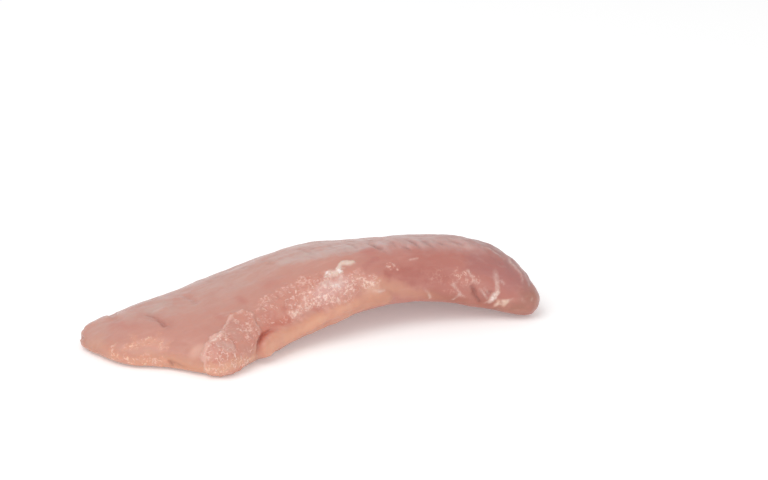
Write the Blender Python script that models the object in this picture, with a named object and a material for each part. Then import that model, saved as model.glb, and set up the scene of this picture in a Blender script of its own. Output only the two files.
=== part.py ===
"""A raw boneless pork chop, lying flat on its underside, as one solid of lean meat.

Metres, +Z up. X runs along the chop, from its thin end at -X to its thick end at +X. -Y is its
front, where the edge bulges out at the thin half and lifts off the table at the thick half.
The origin is the centre of the chop's box, on the table.

The chop is a slab: a plan outline round a spine, and a section that falls from the spine to the
outline. Both come from the driving dimensions and from short profiles, which give shares of
those dimensions at shares of the length.
"""

import math

import bmesh
import bpy

# Driving dimensions.
LENGTH = 0.178
WIDTH = 0.080
THICKNESS = 0.0215
ARCH_HEIGHT = 0.009

# Where each round end begins, as a share of the length, and how square it is: 2 is an ellipse,
# less is more pointed and more is blunter.
THIN_END = 0.15
THICK_END = 0.82
THIN_END_SQUARENESS = 1.9
THICK_END_SQUARENESS = 2.6

# The plan: (share of the length, share of the width).
FRONT_EDGE = (
    (0.00, 0.20),
    (0.07, 0.13),
    (0.14, 0.12),
    (0.20, 0.03),
    (0.27, -0.06),
    (0.35, 0.05),
    (0.44, 0.16),
    (0.54, 0.22),
    (0.66, 0.27),
    (0.80, 0.26),
    (0.90, 0.22),
    (1.00, 0.12),
)
BACK_EDGE = (
    (0.00, 0.68),
    (0.15, 0.72),
    (0.32, 0.88),
    (0.50, 0.99),
    (0.68, 0.98),
    (0.84, 0.90),
    (1.00, 0.66),
)
SPINE = (
    (0.00, 0.47),
    (0.15, 0.42),
    (0.30, 0.48),
    (0.50, 0.60),
    (0.70, 0.60),
    (0.82, 0.54),
    (1.00, 0.34),
)

# The thickness at the spine: (share of the length, share of the thickness).
DEPTH = (
    (0.00, 0.50),
    (0.15, 0.61),
    (0.30, 0.82),
    (0.50, 1.12),
    (0.68, 1.13),
    (0.85, 1.15),
    (1.00, 1.02),
)

# The section: how high the rim's outermost line is and how far in the underside's rounded edge
# reaches, both as shares of the depth, and how full the shoulders are in front and behind.
RIM_HEIGHT = 0.22
UNDER_EDGE = 0.24
FRONT_FULLNESS = 2.6
BACK_FULLNESS = 1.9

# The arch under the front edge: where it starts, peaks and ends, as shares of the length, and
# how far back it reaches, as a share of the width.
ARCH_START = 0.30
ARCH_PEAK = 0.70
ARCH_END = 1.0
ARCH_REACH = 0.55

# The surface: its colour as linear RGB, and how rough its wet sheen is.
MEAT_COLOR = (0.60, 0.29, 0.23, 1.0)
MEAT_ROUGHNESS = 0.4

# Mesh resolution. The underside's rings lie closer together near the rim: 1 spaces them evenly.
SIDE_STEPS = 30
END_STEPS = 14
TOP_RINGS = 12
UNDER_RINGS = 6
UNDER_RING_CROWDING = 1.6
MERGE_DISTANCE = 1e-6


def along(profile, share):
    """The smooth curve through a profile's points, read at a share of the length."""
    before = (2 * profile[0][0] - profile[1][0], profile[1][1])
    after = (2 * profile[-1][0] - profile[-2][0], profile[-2][1])
    points = [before, *profile, after]
    i = 1
    while i < len(points) - 3 and share > points[i + 1][0]:
        i += 1
    (xa, ya), (xb, yb), (xc, yc), (xd, yd) = points[i - 1 : i + 3]
    step = xc - xb
    slope_b = (yc - ya) / (xc - xa) * step
    slope_c = (yd - yb) / (xd - xb) * step
    t = (share - xb) / step
    return (
        (2 * t**3 - 3 * t**2 + 1) * yb
        + (t**3 - 2 * t**2 + t) * slope_b
        + (3 * t**2 - 2 * t**3) * yc
        + (t**3 - t**2) * slope_c
    )


def smoothstep(low, high, value):
    t = min(max((value - low) / (high - low), 0.0), 1.0)
    return t * t * (3 - 2 * t)


def rim_point(edge, share, cap):
    """A point of the outline: the edge's profile, drawn in towards the spine by cap."""
    middle = along(SPINE, share)
    return share * LENGTH, (middle + (along(edge, share) - middle) * cap) * WIDTH


def spine_point(share):
    return share * LENGTH, along(SPINE, share) * WIDTH


def side_rays(edge):
    """The (rim point, spine point) pairs of one side, from the thin end to the thick end."""
    rays = []
    for i in range(SIDE_STEPS + 1):
        share = THIN_END + (THICK_END - THIN_END) * i / SIDE_STEPS
        rays.append((rim_point(edge, share, 1.0), spine_point(share)))
    return rays


def end_rays(start, tip, squareness, first_edge, last_edge):
    """The pairs that fan out from the spine at start, round an end whose tip is at tip."""
    rays = []
    for i in range(1, END_STEPS):
        angle = math.pi * i / END_STEPS
        out = math.sin(angle) ** (2 / squareness)
        cap = abs(math.cos(angle)) ** (2 / squareness)
        edge = first_edge if angle < math.pi / 2 else last_edge
        rays.append((rim_point(edge, start + (tip - start) * out, cap), spine_point(start)))
    return rays


def outline():
    """Every pair of the plan, once round the chop."""
    thick = end_rays(THICK_END, 1.0, THICK_END_SQUARENESS, FRONT_EDGE, BACK_EDGE)
    thin = end_rays(THIN_END, 0.0, THIN_END_SQUARENESS, BACK_EDGE, FRONT_EDGE)
    return side_rays(FRONT_EDGE) + thick + side_rays(BACK_EDGE)[::-1] + thin


def lift(x, y):
    """How far the underside is off the table: an arch at the front that dies out behind."""
    share = x / LENGTH
    rise = smoothstep(ARCH_START, ARCH_PEAK, share) * (1 - smoothstep(ARCH_PEAK, ARCH_END, share))
    front = along(FRONT_EDGE, share) * WIDTH
    return ARCH_HEIGHT * rise * (1 - smoothstep(front, front + ARCH_REACH * WIDTH, y))


def between(rim, spine, radius):
    """The plan point at a share of the way from the spine to the rim, and the depth there."""
    x = spine[0] + (rim[0] - spine[0]) * radius
    y = spine[1] + (rim[1] - spine[1]) * radius
    return x, y, along(DEPTH, x / LENGTH) * THICKNESS


def top_point(rim, spine, radius):
    x, y, depth = between(rim, spine, radius)
    facing = 0.5 - 0.5 * (rim[1] - spine[1]) / math.dist(rim, spine)
    fullness = BACK_FULLNESS + (FRONT_FULLNESS - BACK_FULLNESS) * facing
    dome = (1 - RIM_HEIGHT) * math.sqrt(1 - radius**fullness)
    return x, y, lift(x, y) + depth * (RIM_HEIGHT + dome)


def under_point(rim, spine, radius):
    x, y, depth = between(rim, spine, radius)
    from_rim = math.dist(rim, spine) * (1 - radius)
    curl = max(0.0, 1 - from_rim / (UNDER_EDGE * depth))
    return x, y, lift(x, y) + depth * RIM_HEIGHT * (1 - math.sqrt(1 - curl**2))


def rings():
    """Closed rings of points, from the spine over the top to the rim and back underneath."""
    rays = outline()
    found = []
    for i in range(TOP_RINGS + 1):
        radius = math.sin(math.pi / 2 * i / TOP_RINGS)
        found.append([top_point(rim, spine, radius) for rim, spine in rays])
    for i in range(1, UNDER_RINGS + 1):
        radius = 1 - (i / UNDER_RINGS) ** UNDER_RING_CROWDING
        found.append([under_point(rim, spine, radius) for rim, spine in rays])
    return found


def centred(found):
    """The rings' points in one list, moved so that the origin is the box's bottom centre."""
    points = [point for ring in found for point in ring]
    middle_x = (min(p[0] for p in points) + max(p[0] for p in points)) / 2
    middle_y = (min(p[1] for p in points) + max(p[1] for p in points)) / 2
    bottom = min(p[2] for p in points)
    return [(x - middle_x, y - middle_y, z - bottom) for x, y, z in points]


def chop_mesh():
    found = rings()
    count = len(found[0])
    faces = []
    for ring in range(len(found) - 1):
        for a in range(count):
            b = (a + 1) % count
            near = ring * count
            far = near + count
            faces.append((near + a, far + a, far + b, near + b))
    mesh = bpy.data.meshes.new("chop")
    mesh.from_pydata(centred(found), [], faces)
    bm = bmesh.new()
    bm.from_mesh(mesh)
    bmesh.ops.remove_doubles(bm, verts=bm.verts, dist=MERGE_DISTANCE)
    bmesh.ops.recalc_face_normals(bm, faces=bm.faces)
    for face in bm.faces:
        face.smooth = True
    bm.to_mesh(mesh)
    bm.free()
    return mesh


def meat_material():
    material = bpy.data.materials.new("meat")
    material.use_nodes = True
    shader = material.node_tree.nodes["Principled BSDF"]
    shader.inputs["Base Color"].default_value = MEAT_COLOR
    shader.inputs["Roughness"].default_value = MEAT_ROUGHNESS
    return material


def main():
    for obj in list(bpy.data.objects):
        bpy.data.objects.remove(obj, do_unlink=True)
    chop = bpy.data.objects.new("chop", chop_mesh())
    chop.data.materials.append(meat_material())
    bpy.context.scene.collection.objects.link(chop)


main()
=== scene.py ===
"""The looks of a raw boneless pork chop: its sculpted surface, its wet meat and a white studio.

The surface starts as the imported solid, remeshed finely, and is then shaped by marks: strokes laid
on it along places given in millimetres in the frame's axes. The same marks drive the material.
A mark is an array with a value for each point of the surface, mostly from 0 to 1.
"""

import math

import bpy
import numpy as np
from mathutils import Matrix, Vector, noise
from mathutils.bvhtree import BVHTree

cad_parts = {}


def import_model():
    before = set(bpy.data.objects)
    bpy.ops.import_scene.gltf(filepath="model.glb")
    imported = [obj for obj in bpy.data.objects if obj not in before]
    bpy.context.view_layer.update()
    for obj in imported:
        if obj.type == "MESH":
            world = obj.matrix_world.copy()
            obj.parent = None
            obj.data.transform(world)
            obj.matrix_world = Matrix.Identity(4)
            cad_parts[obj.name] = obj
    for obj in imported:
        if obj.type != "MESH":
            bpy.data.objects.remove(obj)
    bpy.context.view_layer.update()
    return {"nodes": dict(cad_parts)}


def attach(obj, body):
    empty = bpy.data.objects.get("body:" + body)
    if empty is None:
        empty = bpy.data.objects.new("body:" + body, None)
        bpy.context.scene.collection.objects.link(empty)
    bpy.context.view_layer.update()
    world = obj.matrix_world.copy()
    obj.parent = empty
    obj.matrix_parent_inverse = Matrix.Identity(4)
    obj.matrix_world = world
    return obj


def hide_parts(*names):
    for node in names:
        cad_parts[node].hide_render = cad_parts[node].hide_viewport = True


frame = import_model()

MM = 0.001

# ---------------------------------------------------------------- the finely meshed copy

VOXEL = 1.2 * MM
SMOOTH_FACTOR = 0.5
SMOOTH_STEPS = 14


def fine_copy(node):
    """A new object with the node's shape as even quads of about half a voxel."""
    mesh = frame["nodes"][node].data.copy()
    rough = bpy.data.objects.new("rough", mesh)
    bpy.context.scene.collection.objects.link(rough)
    remesh = rough.modifiers.new("remesh", "REMESH")
    remesh.mode = "VOXEL"
    remesh.voxel_size = VOXEL
    smooth = rough.modifiers.new("smooth", "SMOOTH")
    smooth.factor = SMOOTH_FACTOR
    smooth.iterations = SMOOTH_STEPS
    subdivide = rough.modifiers.new("subdivide", "SUBSURF")
    subdivide.levels = 1
    subdivide.render_levels = 1
    depsgraph = bpy.context.evaluated_depsgraph_get()
    fine = bpy.data.meshes.new_from_object(rough.evaluated_get(depsgraph))
    bpy.data.objects.remove(rough)
    fine.materials.clear()
    piece = bpy.data.objects.new("chop_meat", fine)
    bpy.context.scene.collection.objects.link(piece)
    return piece


def vectors(collection, key):
    """A mesh collection's vectors as an array with a row for each."""
    values = np.zeros(len(collection) * 3, np.float32)
    collection.foreach_get(key, values)
    return values.reshape(-1, 3).astype(float)


piece = fine_copy("chop")
mesh = piece.data
COUNT = len(mesh.vertices)
points = vectors(mesh.vertices, "co") / MM
normals = vectors(mesh.vertex_normals, "vector")
surface = BVHTree.FromPolygons(
    [tuple(point) for point in points], [tuple(face.vertices) for face in mesh.polygons]
)

# ---------------------------------------------------------------- making marks

# The noise: the way from one seed's noise to the next one's, how fast its octaves fade and how
# much finer each is than the last.
SEED_STEP = np.array([17.3, -9.1, 4.7])
OCTAVE_FADE = 0.9
OCTAVE_STEP = 2.1

# How sharp a thread is, and half a spot's length.
THREAD_SHARPNESS = 5
SPOT_HALF = 0.2


def smoothstep(low, high, value):
    t = np.clip((value - low) / (high - low), 0, 1)
    return t * t * (3 - 2 * t)


def wave(places, size, seed, octaves=3):
    """Smooth noise between about -1 and 1, with lumps of that size in millimetres."""
    scaled = places / np.array(size, float) + SEED_STEP * seed
    return np.array([noise.fractal(p, OCTAVE_FADE, OCTAVE_STEP, octaves) for p in scaled])


def threads(places, size, seed):
    """Thin curling lines, 1 on a line and 0 between, with gaps of that size in millimetres."""
    away = np.abs(wave(places, size, seed, octaves=2))
    return 1 - np.clip(away * THREAD_SHARPNESS, 0, 1)


# How the places of the surface are shaken, so that a stroke's edge is ragged.
WARP = np.stack([wave(points, size=4, seed=seed) for seed in (1, 2, 3)], axis=1)


def near(line, ragged):
    """Each point's distance, in millimetres, to a line of places snapped to the surface, and its
    share of the way along that line."""
    line = [np.array(surface.find_nearest(Vector(place))[0]) for place in line]
    places = points + WARP * ragged
    best = np.full(COUNT, np.inf)
    share = np.zeros(COUNT)
    runs = [np.linalg.norm(b - a) for a, b in zip(line, line[1:])]
    done = 0.0
    for a, b, run in zip(line, line[1:], runs):
        step = np.clip(((places - a) @ (b - a)) / run**2, 0, 1)
        away = np.linalg.norm(places - a - step[:, None] * (b - a), axis=1)
        share = np.where(away < best, (done + step * run) / sum(runs), share)
        best = np.minimum(best, away)
        done += run
    return best, share


def stroke(line, width, ragged=0.5, core=0.0, strength=1.0):
    """A mark of that strength on the line, which fades to 0 at width. core is the share of the
    width that stays full, and ragged is how uneven the edge is, in millimetres. width and strength
    can each be several values, spread evenly along the line."""
    away, share = near(line, ragged)
    width, strength = (np.atleast_1d(value) for value in (width, strength))
    width = np.interp(share, np.linspace(0, 1, len(width)), width)
    strength = np.interp(share, np.linspace(0, 1, len(strength)), strength)
    return strength * (1 - smoothstep(core * width, width, away))


def spot(place, width):
    x, y, z = place
    return stroke([(x - SPOT_HALF, y, z), (x + SPOT_HALF, y, z)], width=width, ragged=1.0)


def union(*marks):
    return np.maximum.reduce(marks)


def strokes(table, width, ragged):
    """One mark of a table's strokes, each a (line, strength)."""
    return union(*[stroke(line, width, ragged, strength=strength) for line, strength in table])


# The muscle's grain runs along the chop and bends with it. It is found in slices along the chop,
# and evened out over a few of them.
SLICES = 40
EVENED_SLICES = 9


def from_middle():
    """How far behind the line half way between the chop's edges each point lies."""
    along_x, along_y = points[:, 0], points[:, 1]
    slices = np.linspace(along_x.min(), along_x.max(), SLICES)
    which = np.digitize(along_x, slices) - 1
    middles = []
    for i in range(SLICES - 1):
        inside = along_y[which == i]
        middles.append((inside.min() + inside.max()) / 2)
    padded = np.pad(middles, EVENED_SLICES // 2, "edge")
    middles = np.convolve(padded, np.ones(EVENED_SLICES) / EVENED_SLICES, "valid")
    return along_y - np.interp(along_x, (slices[1:] + slices[:-1]) / 2, middles)


across = from_middle()
grain = np.stack([points[:, 0], across, points[:, 2]], axis=1)

# ---------------------------------------------------------------- the marks

# A thick flap of meat at the front, of two lobes with pale ragged edges.
flap = union(
    stroke([(-44, -40, 4), (-44, -37, 8), (-41, -34, 12)], width=4.8, ragged=1.2, core=0.7),
    stroke(
        [(-38, -40, 5), (-35, -37, 10), (-32, -29, 14), (-32, -26, 15)],
        width=6.6, ragged=1.2, core=0.75,
    ),
)
LEFT_LOBE_EDGE = [
    (-47, -40, 3.4), (-48, -38.8, 5.6), (-48, -37, 8), (-47, -35.3, 10), (-44.7, -33.7, 11.6),
    (-43, -32.8, 12.4), (-41, -31.4, 13.1), (-39, -30, 14),
]
UPPER_LOBE_EDGE = [
    (-39, -30, 14), (-37, -25.5, 15), (-34.4, -23.8, 15.7), (-32, -22, 16), (-30, -21.5, 16.5),
    (-27.5, -23, 16), (-27, -25, 15.3), (-26.6, -27.7, 13.7), (-26, -29.6, 12),
    (-26.7, -31.4, 10.4), (-28, -33, 9), (-28.5, -34.4, 7),
]
flap_edge = union(
    stroke(
        LEFT_LOBE_EDGE,
        width=(1.2, 2.0, 2.0, 1.8), ragged=1.6, core=0.1, strength=(0.6, 1, 1, 1, 0.8),
    ),
    stroke(UPPER_LOBE_EDGE, width=1.3, ragged=1.2, core=0.1, strength=(0.8, 1, 0.9, 0.7, 0.8, 0.4)),
    stroke(
        [(-39, -34.5, 12), (-37.4, -36, 11), (-37.3, -38, 9.4)],
        width=0.9, ragged=0.6, strength=0.5,
    ),
    stroke([(-41, -38, 10), (-39, -39, 9.4), (-37, -38.6, 9)], width=0.8, ragged=0.5, strength=0.5),
)
flap_froth = union(
    stroke(
        [
            (-46.6, -39, 7), (-46, -37.3, 9), (-44.7, -35.4, 10.7), (-42.5, -33.8, 12),
            (-40, -31.4, 13.2),
        ],
        width=3.0, ragged=1.8, core=0.2, strength=(0.5, 0.8, 1, 1, 0.9),
    ),
    stroke(
        [(-33, -30, 13.5), (-30.3, -27.4, 14.4), (-29.7, -31.5, 11.7), (-32.8, -34, 11)],
        width=1.8, ragged=1.4, strength=0.7,
    ),
)
flap_smooth = union(
    stroke(
        [(-36, -27.4, 14.6), (-36.4, -31.5, 13), (-35, -33.6, 12)],
        width=3.0, ragged=1.0, core=0.3,
    ),
    stroke([(-34, -36.5, 9), (-32, -36, 7.5)], width=2.4, ragged=1.0, core=0.2, strength=0.7),
)
flap_grey = stroke(
    [(-42, -36, 11), (-40, -37, 10.5), (-38, -37.6, 10)],
    width=2.4, ragged=1.0, core=0.2,
)
foot = stroke(
    [
        (-47.5, -39.4, 4), (-45, -40.7, 3.2), (-42.5, -42, 4), (-39.4, -41.7, 4.9), (-36, -40, 5),
        (-32.7, -37.8, 5), (-29, -35.6, 4),
    ],
    width=(2.6, 3.6, 3.4, 2.8, 2.2), ragged=1.4, core=0.2,
)

# The cut surfaces, where the skin is off.
BAND = [
    (-23, -25, 14), (-18, -22, 15), (-13, -20, 16), (-7, -18, 18), (-1, -16, 19), (5, -15, 21),
    (10, -16, 20), (15, -15, 21), (21, -15, 20),
]
band = stroke(BAND, width=(5.5, 7, 7.5, 6, 3.5), ragged=2.6, core=0.6, strength=(0.8, 1, 1, 1, 0.8))
BRIGHT = [
    (-12, -23, 14), (-9, -22, 15), (-3, -19, 18), (2, -18, 18), (6, -17, 20), (10, -17, 19),
    (12, -16, 21), (16, -15, 21), (20, -15, 20),
]
bright = stroke(BRIGHT, width=(3, 5, 6.5, 5.5, 4), ragged=2.4, core=0.2)
UPPER_BAND = [
    (-26.5, -20.5, 17.2), (-24, -18.6, 18), (-21.2, -17.1, 18.7), (-17.9, -16.3, 19.2),
    (-13.7, -14.6, 20.5), (-9.4, -12.8, 21.8), (-5.3, -11.8, 22.8), (-2, -12.5, 23), (1, -13.5, 23),
]
upper_band = stroke(
    UPPER_BAND,
    width=(1.8, 2.4, 2.6, 3.2, 2.6), ragged=2.4, core=0.2, strength=(0.7, 1, 0.8, 1, 0.8),
)
low_left = union(
    stroke(
        [(-79, -19, 5), (-77, -22, 3), (-73, -25, 3), (-68, -26, 3), (-62, -28, 3)],
        width=2.8, ragged=2.0, core=0.2,
    ),
    stroke(
        [(-73, -21, 7), (-71, -20, 9), (-67, -22, 9), (-64, -22, 10), (-61, -26, 9)],
        width=3.4, ragged=2.5,
    ),
)
right_cut = union(
    stroke([(54, -15, 21), (56, -15, 19), (58, -16, 17)], width=2.6, ragged=1.8, core=0.1),
    stroke([(59, -15, 20), (61, -16, 18), (62, -17, 16)], width=1.8, ragged=1.4, core=0.1),
    stroke([(44, -14, 20), (50, -15, 18), (57, -17, 12)], width=4.0, ragged=3.0, strength=0.35),
)
speckles = stroke(
    [(28.3, -11.6, 25.3), (29.6, -12.4, 24.4), (31.4, -13.1, 23.6)],
    width=(1.7, 2.0, 1.5), ragged=1.4, core=0.2, strength=(1, 1, 0.7),
)
cut = union(
    flap * (1 - 0.75 * flap_smooth),
    band,
    upper_band * 0.9,
    low_left * 0.7,
    right_cut * 0.7,
    speckles * 0.5,
)
cut = np.clip(cut, 0, 1)

# The smooth rolled lip along the front edge, and the deep crease over it. The lip's crown is a
# painted highlight, and the crease's dark red partly a painted shade.
LIP = [
    (-24, -32, 5.5), (-22, -30.6, 7), (-19, -28.8, 7.6), (-14.7, -26.5, 8), (-10, -24.5, 8.6),
    (-3, -22, 10.5), (3, -21, 12), (9, -19, 13.5), (16, -18, 15), (20, -17, 15.5), (25, -16, 16),
]
lip = stroke(
    LIP,
    width=(4.8, 4.6, 4.0, 3.4, 3.2, 3.0, 2.6),
    ragged=0.6,
    core=0.35,
    strength=(1.1, 1, 1, 1, 0.8, 0.4, 0),
)
# A painted highlight along the top of the lip.
painted_lip_highlight = stroke(LIP, width=(3, 2.6, 2.0, 1.8), ragged=0.9, strength=(0.5, 0.6, 0.9, 0.6, 0.3))
lip_under = stroke(
    [
        (-17.5, -26.6, 3), (-11, -23.7, 4.8), (-4.8, -21.5, 6), (1.4, -20, 7.5), (7.5, -19, 9),
        (13.6, -18, 11), (19.7, -17, 12.7), (26, -16, 13.3),
    ],
    width=4.0, ragged=0.8, core=0.3,
)
LIP_CREASE = [
    (-27.4, -34, 5.5), (-27, -33, 8), (-26.3, -32, 9.4), (-25, -30.7, 10.3), (-22.5, -29.3, 10.7),
    (-19.6, -28, 10.7), (-16.3, -26.7, 10.6),
]
lip_crease = stroke(
    LIP_CREASE,
    width=(1.0, 1.4, 1.5, 1.2, 0.9), ragged=0.4, strength=(0.4, 0.8, 1, 0.8, 0.4, 0),
)

# Fat: a wet lump with a smooth tongue on the top, and streaks and thin arcs at the thick end.
tongue = stroke(
    [(9.4, -10.4, 25.7), (10.6, -9, 26.4), (12.5, -8.6, 26.8), (15.6, -9, 27)],
    width=(1.4, 1.4, 2.0, 1.3), ragged=0.7, core=0.2,
)
lump = union(
    tongue,
    stroke(
        [(4, -13, 23.5), (6, -12.3, 24.4), (8.5, -11.5, 25), (10.5, -11, 25.2)],
        width=(1.3, 2.1, 2.2, 1.4), ragged=1.6, core=0.1, strength=(0.7, 0.85, 1, 0.8),
    ),
)
# Painted highlights: whiter spots on the lump, on the film below it and at a streak's foot, where
# wet glints fall. They count as fat too.
painted_glints = union(
    stroke(
        [(8.6, -10.8, 25.6), (9.6, -11.7, 25), (9.8, -12.4, 24.5)],
        width=1.3, ragged=1.2, core=0.2,
    ),
    stroke([(3.6, -12.6, 24), (5.4, -11.8, 24.6)], width=0.9, ragged=1.2, strength=0.7),
    stroke([(5.4, -15.2, 22), (7.6, -15.8, 21.6)], width=1.5, ragged=2.2, strength=0.7),
    stroke([(67.8, -18.6, 9.6), (68.9, -18.6, 10.8)], width=1.2, ragged=0.8, strength=0.5),
)
lump_film = stroke(
    [(1, -15, 22), (5, -15.5, 22.5), (7, -16, 22), (9, -14, 23)],
    width=3.0, ragged=2.0, strength=0.5,
)
streaks = union(
    stroke(
        [(70, -15, 20.5), (70.2, -16, 18), (70.2, -17.6, 15.5), (70, -18.3, 13)],
        width=(1.2, 1.6, 1.4), ragged=0.5, core=0.1, strength=(0.05, 0.35, 0.45, 0.55),
    ),
    stroke(
        [(67, -18.4, 9), (68.4, -18.6, 10.3), (69.9, -18.7, 12)],
        width=(1.5, 2.3, 1.5), ragged=0.8, core=0.3, strength=(0.9, 1, 0.7),
    ),
    stroke(
        [(65, -18, 8), (66, -18, 8.6), (67.3, -18.4, 9.4)],
        width=0.8, ragged=0.4, strength=(0.2, 0.7),
    ),
)
faint_streaks = union(
    stroke(
        [(70, -19, 6.8), (71.6, -19.3, 8), (73.5, -19.6, 8.6), (75, -20, 9.4)],
        width=(0.9, 1.2, 0.8), ragged=1.4, strength=(0.8, 1, 0.8, 0.4),
    ),
    stroke([(79.6, -20.8, 9.4), (80.8, -21, 7.8)], width=1.0, ragged=1.2, strength=0.4),
    stroke([(82.8, -20.8, 7.4), (83.6, -20.2, 8.6)], width=1.0, ragged=1.2, strength=0.4),
    stroke(
        [(63, -17.5, 14), (65, -18, 12), (66, -18, 10)],
        width=0.8, ragged=0.3, strength=(0.3, 0.9, 0.5),
    ),
    stroke([(65, -17, 14), (66.5, -18, 12)], width=0.7, ragged=0.3, strength=0.6),
    stroke(
        [(59, -15, 21), (61, -16, 18), (62, -17, 16)],
        width=0.8, ragged=0.8, strength=(0.9, 0.4),
    ),
    stroke(
        [(53, -16, 16.5), (54.5, -17, 14.5), (55.5, -17, 13), (57, -17, 11.5)],
        width=0.8, ragged=0.8, strength=0.7,
    ),
    stroke(
        [(55.5, -17, 13), (54, -16, 11.5), (52.5, -16, 10)],
        width=0.8, ragged=0.8, strength=0.8,
    ),
    stroke([(37, -11, 26.5), (40, -11, 26.5)], width=0.7, ragged=0.2, strength=0.6),
    stroke(
        [(41.5, -16, 16), (43, -16, 14), (44, -15, 11.5)],
        width=0.8, ragged=0.4, strength=(0.2, 0.9),
    ),
    stroke([(72, -17, 16.5), (73, -18, 15)], width=0.7, ragged=0.5, strength=0.7),
    stroke(
        [(20.6, -16.6, 17), (23, -16.3, 17), (25.5, -16, 17)],
        width=0.9, ragged=0.6, strength=(0.4, 0.9, 0.5),
    ),
)
RIM_ARCS = (
    ([(66, -5, 26), (70, -7, 24.5), (72.7, -8.5, 23), (75, -10, 21.5)], (0.2, 0.7, 0.8, 0.2)),
    (
        [(72, -5, 23.5), (76, -6, 21), (77.5, -11.6, 19.7), (79.4, -15, 17), (80.4, -18, 14.7)],
        (0.5, 0.8, 0.9, 1, 0.3),
    ),
    ([(78.6, -7, 19.4), (80, -11, 18), (81.8, -15, 15.8), (83, -17.3, 13.5)], (0.5, 0.7, 0.6, 0.2)),
)
rim_arcs = strokes(RIM_ARCS, width=0.8, ragged=0.8)
cream = stroke(
    [(69.8, -19, 7), (71.5, -19.4, 7.6), (73.6, -19.7, 8.4)],
    width=1.5, ragged=1.6, core=0.1,
)
rim_grey = stroke(
    [(62, 2, 28), (70, -3, 25), (75, -5, 22), (78.5, -9, 19.5), (81, -13.5, 17), (83, -17, 14)],
    width=(3, 4, 4, 2), ragged=1.2, core=0.3,
)

# The far side: soft fat lines along the grain, and a cut patch low down.
FAR_LINES = (
    ([(-58, 15, 11), (-50, 20, 11.5), (-44, 21, 13), (-33, 26, 13)], (0, 0.8, 0.3, 0.7, 0)),
    ([(-18, 30, 14), (-6, 33, 15), (3, 36, 14), (20, 37, 13)], (0, 0.6, 0.2, 0.9, 0)),
    ([(12, 27, 22), (22, 29, 20.5), (31, 28, 21), (42, 29, 19)], (0, 0.8, 0.4, 0.6, 0)),
    ([(37, 36, 14), (50, 34, 14), (61, 30, 13)], (0, 0.9, 0.2, 0.6, 0)),
    ([(55, 22, 22), (66, 18, 20), (74, 10, 19)], (0, 0.5, 0.9, 0)),
    ([(-38, 15, 17), (-27, 18, 18), (-16, 21, 20)], (0, 0.5, 0.6, 0)),
)
far_lines = strokes(FAR_LINES, width=(0.8, 1.5, 0.9), ragged=0.9)
far_cut = stroke(
    [(22, 41, 5), (32, 41, 6), (42, 38, 6)],
    width=(2.5, 4.5, 2.5), ragged=2.4, core=0.1, strength=0.7,
)

# Creases, a groove, dents and a pair of low raised folds. The creases, groove and dents are
# painted darker, a painted shade, and the raised folds lighter, a painted light.
creases = union(
    stroke(
        [(-64, -6, 13), (-62, -8, 13), (-60.5, -11, 13), (-59.5, -15, 13), (-59, -17, 12.5)],
        width=(0.8, 1.0, 1.6), ragged=0.4, strength=(0.3, 0.5, 0.75),
    ),
    stroke(
        [(60, -17, 15), (60.7, -17.2, 13.7), (61.6, -17.6, 11.4), (63, -17.5, 8.5)],
        width=(1.1, 1.3, 0.9, 0.8), ragged=0.3, core=0.2, strength=(0.5, 1, 0.9, 0.8),
    ),
    stroke([(-60.2, -30.8, 3.6), (-59.5, -31.2, 2.6)], width=1.3, ragged=0.4, strength=0.6),
    stroke(
        [(-38.5, -32, 13), (-38, -34.5, 12), (-36.6, -36, 11), (-36.5, -38.5, 9)],
        width=1.2, ragged=0.7, strength=0.25,
    ),
    stroke(
        [(-59.5, -31, 4), (-57, -32.8, 3.4), (-53, -35.5, 3)],
        width=1.3, ragged=0.8, strength=(0.5, 0.3, 0),
    ),
    stroke([(66.5, -18, 12.5), (67.5, -18.4, 12.5)], width=1.0, ragged=0.4, strength=0.4),
)
groove = stroke([(-63, -6, 13), (-60, -12, 13), (-57, -18, 13)], width=4.0, ragged=0.8)
dents = union(
    stroke([(-47, 2, 16), (-45, -6, 16)], width=2.4, ragged=0.8, strength=0.7),
    stroke(
        [(-75, 10, 9), (-75.5, 2, 10), (-74.5, -3, 10.8)],
        width=2.4, ragged=0.6, strength=(1, 1, 0.4),
    ),
)
left_folds = union(
    stroke(
        [(-54.6, 4.3, 13.8), (-51.1, 3, 14.6), (-48.4, 1.3, 15.2)],
        width=1.3, ragged=0.5, strength=(0.5, 1, 0.6),
    ),
    stroke(
        [(-61, -5, 13.2), (-57.8, -4.4, 13.7), (-54.6, -3.6, 14.3)],
        width=1.6, ragged=0.5, strength=(0.5, 1, 0.6),
    ),
)

# The way from front to back, a little to the right and down. A line that crosses the thin end's
# edge runs this way, and stays full and then fades out at these distances from its middle.
BACKWARD = np.array([0.24, 0.9, -0.37])
CROSSING_FULL = 1.5
CROSSING_END = 3.5


def across_edge(place, width):
    """A short straight line that crosses the thin end's edge at place."""
    away = points - np.array(place)
    along_line = away @ BACKWARD
    from_line = np.linalg.norm(away - along_line[:, None] * BACKWARD, axis=1)
    fade = 1 - smoothstep(CROSSING_FULL, CROSSING_END, np.abs(along_line))
    return (1 - smoothstep(0, width, from_line)) * fade


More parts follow.
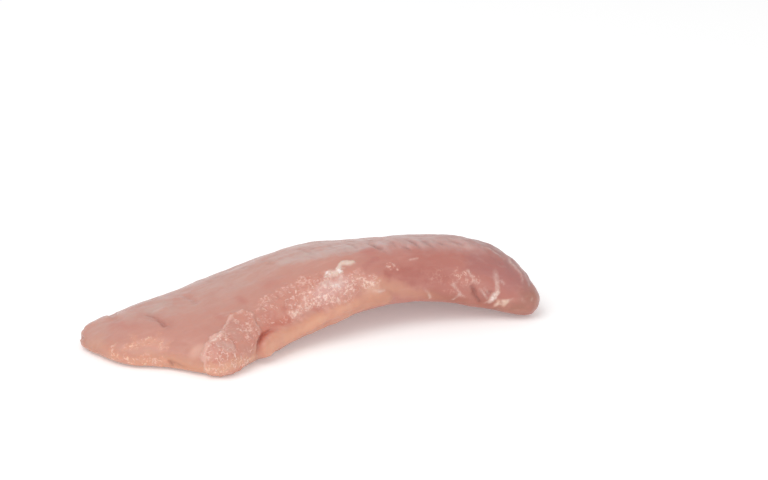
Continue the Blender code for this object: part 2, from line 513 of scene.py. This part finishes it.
# The notch in the tip and the lobes on both sides of it, the swellings of both ends, and the
# thick end's far corner, which is a little lower.
notch = across_edge((-88, -1.6, 4.3), width=1.3)
lobes = across_edge((-88.6, -3, 2.2), width=3) + across_edge((-87.4, 0, 5.4), width=2.2)
tip_swell = stroke([(-84, 4, 6), (-80, 5, 8.5), (-77, 3, 9.5)], width=5.0, ragged=0.8, core=0.2)
shoulder = stroke([(66, -2, 26), (72, -4, 24), (76, -6, 21)], width=9.0, ragged=0.5, core=0.2)
end_swell = stroke(
    [(79, -6, 19.5), (80, -10, 18.3), (81.5, -13.5, 16.5)],
    width=5.5, ragged=0.3, core=0.2, strength=(0.5, 1, 1),
)
neck_swell = stroke(
    [(70, 0, 25), (72, -2, 24), (74, -3, 22.8)],
    width=5, ragged=0.3, core=0.2, strength=(0.3, 1, 1),
)
far_corner = stroke([(82, 4, 16), (85, -6, 14)], width=11.0, ragged=0.5)

# The slanting folds of the thin skin across the crest: each one's line and how deep it is. A low
# ridge lies on the right of each fold. The folds are painted darker, a painted shade, and the
# ridges lighter, a painted light.
CREST_FOLDS = (
    ([(0, 15.6, 24), (1.7, 8.6, 25.4), (3, 0.5, 26.4)], 0.3),
    ([(10.8, 18, 24.4), (11.4, 8, 27), (12.4, 0.6, 28)], 0.4),
    ([(17, 12, 26), (18.3, 5, 28), (19.6, -2.4, 28.7)], 0.5),
    ([(25.7, 12, 27), (27.5, 5, 28.7)], 0.5),
    ([(24, 4, 28.7), (26.3, -2.6, 29.3), (28.6, -7, 28.3)], 1.0),
    ([(32, 3.3, 29.3), (33, -2.3, 29.7), (34, -5.5, 29)], 0.6),
    ([(36, -3.8, 29.6), (37, -6, 29), (38.2, -8.3, 28.2)], 0.8),
    ([(39, 1.6, 29.7), (40.6, -4, 29.6), (42.5, -7.2, 28.6)], 1.0),
    ([(44.2, 0, 29.7), (46, -4.3, 29.3), (48.3, -7.7, 28)], 0.6),
    ([(48, -1.5, 29.5), (51, -4.2, 29), (54.8, -6, 28)], 0.7),
    ([(54.4, -0.8, 28.8), (57.3, -3.2, 28.4), (60.8, -6.3, 27)], 0.6),
)
RIDGE_SHIFT = np.array([1.8, 0.4, 0])


def crest_folds():
    """The crest's folds, and the ridges beside them."""
    folds = []
    ridges = []
    for line, depth in CREST_FOLDS:
        fold = stroke(line, width=(1.5, 1.4, 0.9), ragged=0.9, strength=(0.2, 1, 1, 0.3))
        beside = np.array(line) + RIDGE_SHIFT
        ridge = stroke(beside, width=1.9, ragged=0.9, strength=(0.2, 1, 0.8, 0.1))
        folds.append(fold * depth)
        ridges.append(ridge * depth)
    return union(*folds), union(*ridges)


# Fainter folds lie behind the crest, at about these places along the chop. Others go round the
# thick end, each this far in from the outermost one.
FAR_FOLD_PLACES = np.arange(-42, 66, 8)
FAR_FOLD_SEED = 4
END_FOLD = np.array([(62, 4, 28), (71, -4, 25), (78, -10, 19), (81, -19, 12)])
END_FOLD_INSETS = (0, 3.5, 7)


def far_folds():
    """The fainter folds, of which those behind the crest are no two alike."""
    rng = np.random.default_rng(FAR_FOLD_SEED)
    found = np.zeros(COUNT)
    for place in FAR_FOLD_PLACES:
        x = place + rng.uniform(-3, 3)
        top = rng.uniform(12, 26)
        low = rng.uniform(2, 11)
        top_lean = rng.uniform(1, 7)
        low_lean = rng.uniform(0, 4)
        width = rng.uniform(1.4, 2.4)
        depth = rng.uniform(0.1, 0.45)
        line = [(x - top_lean, top, 26), (x, (top + low) / 2, 27), (x + low_lean, low, 28)]
        fold = stroke(line, width=width, ragged=1.8, strength=(0, 1, 0))
        found = union(found, fold * depth)
    for inset in END_FOLD_INSETS:
        line = END_FOLD - (inset, 0, 0)
        fold = stroke(line, width=1.5, ragged=1.0, strength=(0.2, 0.4, 0.3, 0.1))
        found = union(found, fold)
    return found


folds, ridges = crest_folds()
folds = union(folds, far_folds())

# The thin skin covers the top from its crest back. The crest and the thick end's rim are greyer;
# on the crest the grey is partly the skin's and partly a painted sheen.
skin_edge = across + 4 * wave(points, size=12, seed=6)
skin = smoothstep(-16, 3, skin_edge) * smoothstep(-0.1, 0.5, normals[:, 2])
crest = stroke(
    [(-10, 4, 25), (10, 2, 28), (30, -2, 29), (50, -2, 29), (64, -5, 27)],
    width=9, ragged=2.0, core=0.1, strength=(0.3, 0.8, 1, 1, 1),
)
rim = stroke(
    [(60, 12, 27), (70, 2, 24), (79, -7, 18), (84, -14, 10)],
    width=12, ragged=2.0, core=0.2,
)
thread = threads(points, size=3.0, seed=5) * cut

# Fine wrinkles on the crest, which slant as its folds do.
WRINKLE_SLANT = 0.35
slanted = points.copy()
slanted[:, 0] += WRINKLE_SLANT * points[:, 1]
wrinkles = wave(slanted, size=(2.6, 9, 9), seed=17) * crest

# The parts that turn to the back: most where they just do, and half as much beyond. Their tint is a
# painted shade.
turned = normals @ BACKWARD
behind = smoothstep(-0.4, 0.0, turned) * (1 - 0.5 * smoothstep(0.1, 0.6, turned))
behind = behind * (0.8 + 0.35 * wave(grain, size=(16, 8, 8), seed=19))

# ---------------------------------------------------------------- the relief, in millimetres

# The relief fades out between these heights above the table, so that the chop rests flat.
RESTING_LOW = 0.2
RESTING_HIGH = 1.4

relief = (
    0.5 * wave(points, size=26, seed=11)
    + 0.25 * wave(grain, size=(14, 6, 6), seed=12)
    + 0.05 * wave(grain, size=(8, 2.4, 2.4), seed=13) * (1 - cut)
    + 0.30 * wave(points, size=2.4, seed=14) * cut
    + 0.22 * thread
    - 0.5 * band
    + 0.8 * flap
    + 0.5 * flap_edge * (1 + 0.8 * wave(points, size=1.6, seed=16))
    + 2.0 * lip
    + 0.8 * lip_under * (1 - lip)
    - 1.8 * lip_crease
    + 0.6 * lump
    + 0.5 * (lump - tongue) * wave(points, size=1.8, seed=15)
    - 0.5 * groove
    - 1.2 * creases
    - 0.9 * dents
    - 1.2 * notch
    + 0.7 * lobes
    + 1.0 * tip_swell
    + 1.0 * shoulder
    + 1.2 * end_swell
    + 0.5 * neck_swell
    - 0.6 * far_corner
    + 0.35 * streaks
    + 0.15 * faint_streaks
    + 0.2 * rim_arcs
    - 0.65 * folds
    + 0.3 * ridges
    + 0.25 * left_folds
    + 0.2 * wrinkles
    + 0.25 * wave(points, size=9, seed=18) * behind
)
relief = relief * smoothstep(RESTING_LOW, RESTING_HIGH, points[:, 2])
points = points + normals * relief[:, None]
points[:, 2] = np.maximum(points[:, 2], 0)
mesh.vertices.foreach_set("co", (points * MM).astype(np.float32).ravel())
mesh.update()
mesh.shade_smooth()


def store(name, values):
    """A mark as an attribute of the mesh, which the material reads by name."""
    attribute = mesh.attributes.new(name, "FLOAT", "POINT")
    attribute.data.foreach_set("value", np.clip(values, 0, 1).astype(np.float32))


store("cut", union(cut, far_cut))
store("bright", union(bright, flap_froth, upper_band * 0.6, speckles * 0.7, right_cut * 0.6))
store("edge", flap_edge)
store("dots", union(low_left, foot))
fat = union(
    (lump - tongue * 0.4) * 0.9,
    painted_glints,
    streaks,
    faint_streaks * 0.6,
    rim_arcs * 0.5,
    lump_film * 0.8,
    far_lines * 0.35,
)
store("fat", fat)
store("painted_glint", painted_glints)
store("skin", skin)
flow = mesh.attributes.new("grain", "FLOAT_VECTOR", "POINT")
flow.data.foreach_set("vector", (grain * MM).astype(np.float32).ravel())

# ---------------------------------------------------------------- the meat's colour


def srgb(red, green, blue):
    """A linear colour from 0 to 255 display values."""
    value = np.array([red, green, blue]) / 255
    return np.where(value <= 0.04045, value / 12.92, ((value + 0.055) / 1.055) ** 2.4)


THIN_HALF_COLOR = srgb(201, 141, 126)
THICK_HALF_COLOR = srgb(184, 115, 103)
THREAD_COLOR = (*srgb(250, 216, 202), 1)
DOT_COLOR = (*srgb(244, 196, 170), 1)
FAT_COLOR = (*srgb(236, 216, 204), 1)
# The whitest colour, of the painted highlights on the fat.
PAINTED_GLINT_COLOR = (*srgb(250, 240, 234), 1)
FILM_COLOR = (*srgb(206, 172, 164), 1)
MOTTLE_COLOR = (*srgb(196, 132, 118), 1)

# How far a point is towards the redder thick half, from 0 to 1.
thick_share = smoothstep(4, 46, points[:, 0] + 10 * wave(points, size=22, seed=21))

# Patches that have a tint and no relief, and the spotty tints of the cut surfaces and wrinkles.
beige_edge = stroke(
    [(-86, -12, 2), (-66, -28, 2), (-46, -40, 2), (-29, -36, 2)],
    width=8, ragged=1.5,
)
pink_patch = stroke([(-71, -12, 11), (-76, -5, 10)], width=5, ragged=2.0)
tip_low = stroke([(-88, -3, 3), (-87, -8, 2.5), (-85, -13, 2)], width=4, ragged=1.0, core=0.1)
dark_smooth = stroke(
    [(-58, -28, 8.7), (-55.5, -29.5, 9.4), (-52.6, -32, 9)],
    width=3.4, ragged=1.0, core=0.3,
)
pale_shoulder = stroke([(-51, -34, 8.5), (-49, -34, 9.5)], width=3.4, ragged=1.0, core=0.2)
step_foot = stroke([(-59, -30, 4), (-55, -34, 2.5), (-50, -38, 2)], width=2.6, ragged=0.8, core=0.3)
grey_patch = stroke([(-63, -4, 13), (-57, -1, 14), (-54, -5, 14)], width=5, ragged=2.0)
mauve_spot = spot((-53, 9, 13), width=3)
# The silvery skin along the crest, lighter and greyer: partly its own colour, partly a painted
# sheen.
silver_and_sheen = stroke(
    [(-8, 5, 26), (5, 3, 27), (16, 2, 28), (28, 0, 29)],
    width=(6, 8, 7, 5), ragged=2.0, core=0.2,
)
orange = stroke(
    [
        (24, -15, 20.5), (28, -15.5, 18), (34, -16, 15.5), (40, -16, 13.5), (45, -16, 11.5),
        (49, -16, 10),
    ],
    width=(3.5, 4.5, 4, 3), ragged=1.2, core=0.1, strength=(0.9, 1, 0.8, 0.5, 0.2),
)
band_end = stroke([(18, -16, 18), (22, -16, 17.5)], width=3.5, ragged=1.0, core=0.2)
red_front = stroke(
    [(-25.5, -31, 10.5), (-24, -29, 12), (-20, -27, 12.5), (-14, -24.5, 12.5)],
    width=3.6, ragged=1.2,
)
red_streak = stroke(
    [(19, -11.5, 25.5), (21, -10, 26.5), (23.5, -8.8, 27)],
    width=(2.2, 1.8, 2.0), ragged=1.4, core=0.2, strength=(1, 0.7, 1),
)
red_spots = union(
    spot((-1.5, -21, 15), width=3),
    spot((23, -4, 28), width=5),
    spot((-17, -8, 20), width=5) * 0.5,
    stroke([(-30.1, -11.7, 18.2), (-28.4, -15.4, 18)], width=2.6) * 0.7,
    stroke([(-39.7, -20, 15.9), (-38.8, -23, 15.5)], width=2.2) * 0.5,
)
deep_red = stroke(
    [(27, -13.5, 22.5), (33, -14, 22), (41, -14.5, 20.5), (49, -15, 19)],
    width=(3, 5, 6, 4), ragged=2.0, core=0.2,
)
lower_red = stroke([(44, -15, 12), (56, -17, 8), (66, -18, 7)], width=5, ragged=1.5, core=0.2)
warm_foot = stroke([(70, -20, 4), (78, -20, 5), (84, -18, 8)], width=(4, 7, 8), ragged=1.5)
mauve = stroke([(63, -13, 23), (70, -13.5, 20.5), (76, -16, 16)], width=7, ragged=1.0, core=0.2)
# Painted shade about the deep crease at the thick end.
crease_painted_shade = stroke(
    [(60, -17, 14.5), (62, -17.5, 11), (65, -18, 11.5)],
    width=3.6, ragged=1.0, core=0.1,
)
lilac_patch = stroke(
    [(1, -17.5, 18.5), (5, -16.5, 20.5), (9, -15, 22)],
    width=5, ragged=1.6, core=0.2,
)
blotch = smoothstep(0.15, 0.6, wave(points, size=5, seed=31)) * cut
lilac = smoothstep(0.15, 0.6, wave(points, size=6, seed=32)) * band
# Painted light and shade on the crest's wrinkles: paler where they rise, darker where they sink.
wrinkle_painted_light = smoothstep(0.1, 0.6, wrinkles)
wrinkle_painted_shade = smoothstep(0.1, 0.6, -wrinkles)

# The tints, laid over each other in this order: each one's mark, its strength and its colour.
TINTS = (
    (skin * (1 - thick_share), 0.85, srgb(200, 151, 138)),
    (skin * thick_share, 0.75, srgb(190, 142, 135)),
    # The crest's grey: partly the skin's own colour, partly a painted sheen.
    (silver_and_sheen, 0.8, srgb(203, 171, 163)),
    (crest * thick_share, 0.8, srgb(197, 158, 152)),
    (rim, 0.85, srgb(166, 116, 112)),
    (rim_grey, 0.75, srgb(180, 142, 139)),
    # Painted shade: the surface turned away from the front, drawn greyer and darker.
    (behind, 0.6, srgb(184, 146, 141)),
    # Painted light and shade on the wrinkles.
    (wrinkle_painted_light, 0.4, srgb(208, 174, 170)),
    (wrinkle_painted_shade, 0.4, srgb(172, 128, 124)),
    (grey_patch, 0.6, srgb(196, 166, 155)),
    (mauve_spot, 0.5, srgb(178, 122, 124)),
    (beige_edge, 0.8, srgb(208, 152, 124)),
    (tip_low, 0.7, srgb(188, 132, 110)),
    (dark_smooth, 0.6, srgb(190, 126, 108)),
    (step_foot, 0.6, srgb(210, 148, 118)),
    (pale_shoulder, 0.5, srgb(222, 172, 152)),
    (pink_patch, 0.7, srgb(198, 128, 114)),
    (deep_red, 0.85, srgb(175, 102, 90)),
    (lower_red, 0.8, srgb(172, 106, 88)),
    (cut, 0.6, srgb(208, 140, 122)),
    (blotch, 0.5, srgb(194, 116, 102)),
    (lilac, 0.3, srgb(222, 176, 166)),
    (low_left, 0.6, srgb(220, 158, 130)),
    (flap_smooth, 0.7, srgb(198, 142, 128)),
    (flap_grey, 0.6, srgb(200, 162, 150)),
    (foot, 0.75, srgb(222, 166, 138)),
    (red_spots, 0.7, srgb(190, 112, 100)),
    (red_streak, 0.5, srgb(178, 104, 98)),
    (bright, 0.7, srgb(218, 162, 146)),
    (lilac_patch, 0.5, srgb(218, 170, 166)),
    (orange, 0.8, srgb(205, 146, 120)),
    (band_end, 0.7, srgb(222, 170, 146)),
    (mauve, 0.5, srgb(166, 108, 106)),
    # Painted shade about the thick end's crease.
    (crease_painted_shade, 0.5, srgb(168, 104, 92)),
    (warm_foot, 0.85, srgb(166, 112, 93)),
    (cream, 0.75, srgb(226, 184, 160)),
    (lip_under, 0.75, srgb(206, 146, 118)),
    (lip, 0.85, srgb(213, 149, 121)),
    # Painted highlight on the lip's crown.
    (painted_lip_highlight, 0.7, srgb(230, 174, 144)),
    (red_front, 0.8, srgb(202, 118, 98)),
    # The crease's dark red: partly the meat's redder tone, partly painted shade.
    (lip_crease, 0.9, srgb(190, 88, 68)),
    # Painted shade in the creases.
    (creases, 0.85, srgb(146, 76, 66)),
    # Painted shade in the dents and the groove.
    (union(dents, groove), 0.3, srgb(176, 108, 96)),
    # Painted light on the raised ridges and folds.
    (union(ridges, left_folds), 0.5, srgb(208, 176, 172)),
    # Painted shade in all the folds, the fainter ones too.
    (folds, 0.7, srgb(152, 104, 98)),
    (tongue, 0.75, srgb(222, 194, 178)),
    (far_cut, 0.6, srgb(206, 142, 124)),
    # Painted shade in the notch of the tip.
    (notch, 0.25, srgb(160, 96, 80)),
)


def tinted():
    """The meat's colour at each point, before its fine pattern."""
    color = THIN_HALF_COLOR + (THICK_HALF_COLOR - THIN_HALF_COLOR) * thick_share[:, None]
    for mark, strength, tint in TINTS:
        color = color + (tint - color) * (np.clip(mark, 0, 1) * strength)[:, None]
    return color


tint_attribute = mesh.attributes.new("tint", "FLOAT_COLOR", "POINT")
rgba = np.concatenate([tinted(), np.ones((COUNT, 1))], axis=1)
tint_attribute.data.foreach_set("color", rgba.astype(np.float32).ravel())

# ---------------------------------------------------------------- the meat's material


class Graph:
    """Short calls for building a node tree."""

    def __init__(self, material):
        material.use_nodes = True
        self.nodes = material.node_tree.nodes
        self.links = material.node_tree.links

    def put(self, socket, value):
        if isinstance(value, bpy.types.NodeSocket):
            self.links.new(value, socket)
        else:
            socket.default_value = value

    def attribute(self, name, output="Fac"):
        node = self.nodes.new("ShaderNodeAttribute")
        node.attribute_name = name
        return node.outputs[output]

    def noise(self, vector, scale, detail=3, roughness=0.5):
        node = self.nodes.new("ShaderNodeTexNoise")
        self.put(node.inputs["Vector"], vector)
        self.put(node.inputs["Scale"], scale)
        self.put(node.inputs["Detail"], detail)
        self.put(node.inputs["Roughness"], roughness)
        return node.outputs["Fac"]

    def stretch(self, vector, factors):
        node = self.nodes.new("ShaderNodeVectorMath")
        node.operation = "MULTIPLY"
        self.put(node.inputs[0], vector)
        self.put(node.inputs[1], factors)
        return node.outputs[0]

    def math(self, operation, a, b=0.0):
        node = self.nodes.new("ShaderNodeMath")
        node.operation = operation
        self.put(node.inputs[0], a)
        self.put(node.inputs[1], b)
        return node.outputs[0]

    def times(self, a, b):
        return self.math("MULTIPLY", a, b)

    def plus(self, a, b):
        return self.math("ADD", a, b)

    def larger(self, a, b):
        return self.math("MAXIMUM", a, b)

    def span(self, value, low, high, to_low=0.0, to_high=1.0):
        """value with low to high eased onto to_low to to_high."""
        node = self.nodes.new("ShaderNodeMapRange")
        node.interpolation_type = "SMOOTHSTEP"
        self.put(node.inputs["Value"], value)
        self.put(node.inputs["From Min"], low)
        self.put(node.inputs["From Max"], high)
        self.put(node.inputs["To Min"], to_low)
        self.put(node.inputs["To Max"], to_high)
        return node.outputs["Result"]

    def mix(self, factor, a, b):
        node = self.nodes.new("ShaderNodeMix")
        node.data_type = "RGBA"
        self.put(node.inputs["Factor"], factor)
        self.put(node.inputs["A"], a)
        self.put(node.inputs["B"], b)
        return node.outputs["Result"]

    def ridge(self, vector, scale, width):
        """Thin curling lines where a noise crosses its middle."""
        value = self.noise(vector, scale, detail=2, roughness=0.55)
        away = self.math("ABSOLUTE", self.math("SUBTRACT", value, 0.5))
        return self.span(away, 0.0, width, 1.0, 0.0)


def clouded(graph, color, place, fibre):
    """The colour with cloudy patches, and with soft muscle fibres along the chop."""
    patches = graph.span(graph.noise(place, 110, detail=4, roughness=0.65), 0.46, 0.70)
    color = graph.mix(graph.times(patches, 0.4), color, MOTTLE_COLOR)
    return graph.mix(graph.span(fibre, 0.5, 0.8, to_high=0.08), color, THREAD_COLOR)


def filmed(graph, color, flow):
    """The colour under the skin's silvery film, thicker in some places than in others."""
    film = graph.noise(graph.stretch(flow, (0.5, 1.0, 1.0)), 120, detail=4, roughness=0.6)
    film = graph.times(graph.span(film, 0.44, 0.7), graph.attribute("skin"))
    return graph.mix(graph.times(film, 0.4), color, FILM_COLOR)


def curling(graph, place):
    """The pale threads of the cut surfaces, broken into short dashes, and their froth."""
    patchy = graph.span(graph.noise(place, 220, detail=2), 0.42, 0.60)
    dashes = graph.span(graph.noise(place, 800, detail=2), 0.38, 0.60)
    froth = graph.span(graph.noise(place, 950, roughness=0.7), 0.56, 0.70)
    curls = graph.times(graph.ridge(place, 380, width=0.05), graph.times(patchy, dashes))
    curls = graph.larger(curls, graph.times(graph.times(froth, patchy), 0.8))
    curls = graph.times(curls, graph.attribute("cut"))
    strong = graph.larger(graph.times(graph.ridge(place, 360, width=0.09), dashes), froth)
    curls = graph.larger(curls, graph.times(strong, graph.attribute("bright")))
    edge = graph.times(graph.attribute("edge"), graph.span(froth, 0.0, 1.0, to_low=0.42))
    return graph.larger(curls, edge)


def dotted(graph, place):
    """The orange dots along the thin half's foot."""
    dots = graph.span(graph.noise(place, 700, roughness=0.65), 0.54, 0.66)
    return graph.times(dots, graph.attribute("dots"))


def fine_relief(graph, place, fibre, curls, fat):
    """The normal of the fibres everywhere, and of the grain of the cut surfaces and the fat."""
    height = graph.times(fibre, 0.3)
    height = graph.plus(height, graph.times(graph.noise(place, 900, detail=2), 0.15))
    height = graph.plus(height, graph.times(curls, 0.6))
    height = graph.plus(height, graph.times(fat, 0.4))
    bump = graph.nodes.new("ShaderNodeBump")
    bump.inputs["Strength"].default_value = BUMP_STRENGTH
    bump.inputs["Distance"].default_value = BUMP_DEPTH
    graph.put(bump.inputs["Height"], height)
    return bump.outputs["Normal"]


# How much light goes into the meat and how deep, its wet coat, how rough it is where it is wetter,
# where it is drier and on the fat, and how strong and deep the finest relief is.
SCATTER = 0.2
SCATTER_RADIUS = (1.0, 0.35, 0.2)
SCATTER_DEPTH = 2 * MM
COAT = 0.3
COAT_ROUGHNESS = 0.25
WET_ROUGHNESS = 0.36
DRY_ROUGHNESS = 0.54
FAT_ROUGHNESS = 0.22
BUMP_STRENGTH = 0.5
BUMP_DEPTH = 0.35 * MM


def meat_material():
    material = bpy.data.materials.new("raw_meat")
    graph = Graph(material)
    shader = graph.nodes["Principled BSDF"]
    place = graph.nodes.new("ShaderNodeTexCoord").outputs["Object"]
    flow = graph.attribute("grain", "Vector")
    fibre = graph.noise(graph.stretch(flow, (0.22, 1.0, 1.0)), 330, roughness=0.55)

    color = clouded(graph, graph.attribute("tint", "Color"), place, fibre)
    color = filmed(graph, color, flow)
    curls = curling(graph, place)
    color = graph.mix(graph.times(curls, 0.9), color, THREAD_COLOR)
    dots = dotted(graph, place)
    color = graph.mix(graph.times(dots, 0.9), color, DOT_COLOR)
    curls = graph.larger(curls, dots)

    # Fat, with meat showing through where it is thin, and the painted highlights, whiter still.
    clumps = graph.noise(place, 900, roughness=0.6)
    fat = graph.times(graph.attribute("fat"), graph.span(clumps, 0.36, 0.62, to_low=0.6))
    color = graph.mix(fat, color, FAT_COLOR)
    painted_glint = graph.times(graph.attribute("painted_glint"), graph.span(clumps, 0.42, 0.56))
    color = graph.mix(painted_glint, color, PAINTED_GLINT_COLOR)
    graph.put(shader.inputs["Base Color"], color)

    wet = graph.noise(place, 160, roughness=0.6)
    rough = graph.span(wet, 0.35, 0.7, WET_ROUGHNESS, DRY_ROUGHNESS)
    shine = graph.larger(fat, graph.times(curls, 0.7))
    rough = graph.span(shine, 0.2, 1.0, rough, FAT_ROUGHNESS)
    graph.put(shader.inputs["Roughness"], rough)
    graph.put(shader.inputs["Normal"], fine_relief(graph, place, fibre, curls, fat))

    shader.inputs["Subsurface Weight"].default_value = SCATTER
    shader.inputs["Subsurface Radius"].default_value = SCATTER_RADIUS
    shader.inputs["Subsurface Scale"].default_value = SCATTER_DEPTH
    shader.inputs["Coat Weight"].default_value = COAT
    shader.inputs["Coat Roughness"].default_value = COAT_ROUGHNESS
    return material


mesh.materials.append(meat_material())
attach(piece, "root")
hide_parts("chop")

# ---------------------------------------------------------------- floor, light and camera

# The floor's half width, and how far it lies under the chop, so that the two don't share a plane.
FLOOR_HALF = 3.0
FLOOR_DROP = 0.2 * MM
FLOOR_COLOR = (0.96, 0.96, 0.96, 1)
FLOOR_GLOW = 0.18
WHITE = (1, 1, 1, 1)
SKY_STRENGTH = 0.7

# The camera's place: how far it is turned to the side and raised, in degrees, and how far away.
CAMERA_SIDE = -15
CAMERA_UP = 22
CAMERA_DISTANCE = 0.78
CAMERA_TARGET = (0.0202, -0.0357, 0.0458)
CAMERA_LENS = 100


def floor():
    """A white floor that glows faintly, so that it is as white as the background."""
    size = FLOOR_HALF
    corners = [(-size, -size, 0), (size, -size, 0), (size, size, 0), (-size, size, 0)]
    plane = bpy.data.meshes.new("floor")
    plane.from_pydata(corners, [], [(0, 1, 2, 3)])
    material = bpy.data.materials.new("floor_white")
    material.use_nodes = True
    shader = material.node_tree.nodes["Principled BSDF"]
    shader.inputs["Base Color"].default_value = FLOOR_COLOR
    shader.inputs["Roughness"].default_value = 0.8
    shader.inputs["Specular IOR Level"].default_value = 0.0
    shader.inputs["Emission Color"].default_value = WHITE
    shader.inputs["Emission Strength"].default_value = FLOOR_GLOW
    plane.materials.append(material)
    obj = bpy.data.objects.new("floor", plane)
    obj.location.z = -FLOOR_DROP
    bpy.context.scene.collection.objects.link(obj)


def softbox(name, place, target, size, power):
    """A square area light at place, facing target."""
    lamp = bpy.data.lights.new(name, "AREA")
    lamp.size = size
    lamp.energy = power
    obj = bpy.data.objects.new(name, lamp)
    obj.location = place
    obj.rotation_euler = (Vector(target) - Vector(place)).to_track_quat("-Z", "Y").to_euler()
    bpy.context.scene.collection.objects.link(obj)


def world():
    studio = bpy.data.worlds.new("studio")
    studio.use_nodes = True
    background = studio.node_tree.nodes["Background"]
    background.inputs["Color"].default_value = WHITE
    background.inputs["Strength"].default_value = SKY_STRENGTH
    bpy.context.scene.world = studio


def camera():
    """A view from the front, a little from the left and from above."""
    side = math.radians(CAMERA_SIDE)
    up = math.radians(CAMERA_UP)
    back = Vector((math.sin(side) * math.cos(up), -math.cos(side) * math.cos(up), math.sin(up)))
    data = bpy.data.cameras.new("camera")
    data.lens = CAMERA_LENS
    obj = bpy.data.objects.new("camera", data)
    obj.location = Vector(CAMERA_TARGET) + back * CAMERA_DISTANCE
    obj.rotation_euler = (-back).to_track_quat("-Z", "Y").to_euler()
    bpy.context.scene.collection.objects.link(obj)
    bpy.context.scene.camera = obj


floor()
world()
softbox("key", place=(-0.5, -0.3, 1.0), target=(0, 0, 0), size=0.9, power=4.5)
softbox("fill", place=(0.1, -1.2, 0.35), target=(0, 0, 0.02), size=0.8, power=1.5)
camera()
bpy.context.scene.view_settings.view_transform = "Standard"
